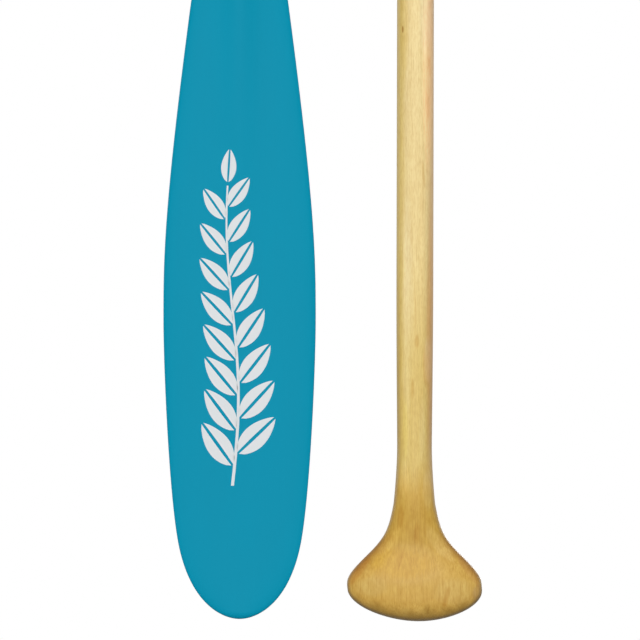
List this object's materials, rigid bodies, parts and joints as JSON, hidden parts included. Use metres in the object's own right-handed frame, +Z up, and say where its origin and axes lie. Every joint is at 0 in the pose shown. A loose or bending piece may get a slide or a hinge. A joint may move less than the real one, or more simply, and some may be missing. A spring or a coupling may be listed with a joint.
{
  "type": "canoe paddle",
  "caption": "Laminated wooden canoe paddle with a long, rounded, painted blade, an oval varnished shaft and a wide fan-shaped palm grip.",
  "frame": {"origin": "on the shaft's axis, where the shoulders of the grip rest on a rack, 92 mm under the crown", "axes": "+Z up the shaft towards the grip's crown, blade tip at the bottom; +X across the blade's width; +Y through the blade's thickness"},
  "size_m": [0.128, 0.033, 1.473],
  "materials": {
    "shaft_wood": "pale straight-grained wood under satin varnish",
    "grip_wood": "pale wood, more amber, under satin varnish",
    "blade_paint": "satin teal paint over wood",
    "blade_ornament": "off-white paint, stencilled over the teal"
  },
  "bodies": {
    "root": {"shaft_core_stave": "shaft_wood", "shaft_left_stave": "shaft_wood", "shaft_right_stave": "shaft_wood", "blade_board_inner_left": "blade_paint", "blade_board_inner_right": "blade_paint", "blade_board_outer_left": "blade_paint", "blade_board_outer_right": "blade_paint", "grip_block_inner_left": "grip_wood", "grip_block_inner_right": "grip_wood", "grip_block_outer_left": "grip_wood", "grip_block_outer_right": "grip_wood"}
  },
  "joints": []
}
